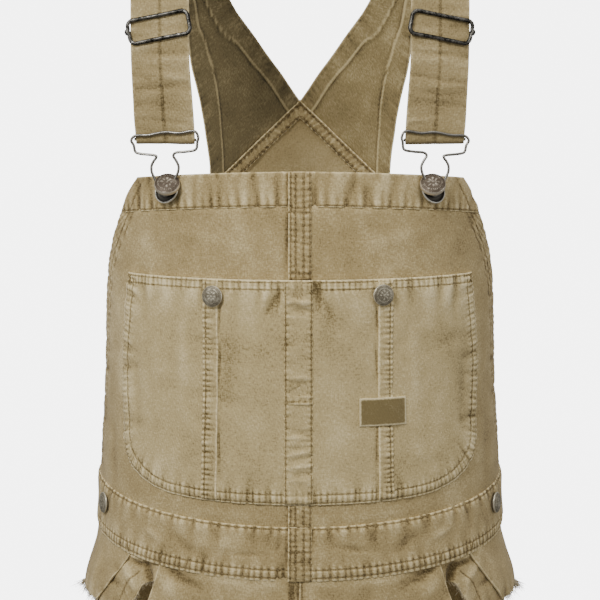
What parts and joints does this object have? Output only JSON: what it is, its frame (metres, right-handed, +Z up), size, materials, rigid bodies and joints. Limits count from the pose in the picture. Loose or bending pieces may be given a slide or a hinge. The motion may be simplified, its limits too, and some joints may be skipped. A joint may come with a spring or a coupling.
{
  "type": "bib overalls",
  "caption": "Canvas bib overalls with short raw-edged legs, worn as a hollow form: bib with a wide pocket, waistband, crossed back, shoulder straps, wire buckles and buttons.",
  "frame": {"origin": "midway between the tops of the two shoulder straps, on their inner faces, where the wearer's shoulders carry the garment", "axes": "+Z up, the front faces -Y, +X to the viewer's right when the front is seen; metres"},
  "size_m": [0.3344, 0.2648, 0.7763],
  "materials": {
    "canvas": "washed khaki denim canvas, matt, with worn seam ridges",
    "pocket_canvas": "the same canvas, a little lighter",
    "strap_canvas": "the same canvas, a little darker and creased",
    "label_patch": "bare brown patch",
    "antique_metal": "antiqued, speckled",
    "dark_metal": "dark gunmetal"
  },
  "bodies": {
    "root": {"back_panel": "canvas", "back_seam_left": "canvas", "back_seam_right": "canvas", "back_wing_left": "canvas", "back_wing_right": "canvas", "bib_button_base_left": "antique_metal", "bib_button_base_right": "antique_metal", "bib_button_left": "antique_metal", "bib_button_right": "antique_metal", "bib_left": "canvas", "bib_pocket": "pocket_canvas", "bib_right": "canvas", "bib_top_band": "canvas", "buckle_bar_left": "dark_metal", "buckle_bar_right": "dark_metal", "buckle_left": "dark_metal", "buckle_right": "dark_metal", "centre_seam_bib": "canvas", "centre_seam_upper": "canvas", "centre_seam_waist": "canvas", "front_panel_left": "canvas", "front_panel_right": "canvas", "label_patch": "label_patch", "pocket_button_left": "antique_metal", "pocket_button_right": "antique_metal", "pocket_centre_band": "pocket_canvas", "pocket_facing_left": "canvas", "pocket_facing_right": "canvas", "pocket_strip_left": "pocket_canvas", "pocket_strip_right": "pocket_canvas", "seat_panel_left": "canvas", "seat_panel_right": "canvas", "side_button_left": "antique_metal", "side_button_right": "antique_metal", "side_piece_left": "canvas", "side_piece_right": "canvas", "slider_bar_left": "dark_metal", "slider_bar_right": "dark_metal", "slider_left": "dark_metal", "slider_right": "dark_metal", "strap_left": "strap_canvas", "strap_right": "strap_canvas", "waistband_back": "canvas", "waistband_front_left": "canvas", "waistband_front_right": "canvas"}
  },
  "joints": []
}
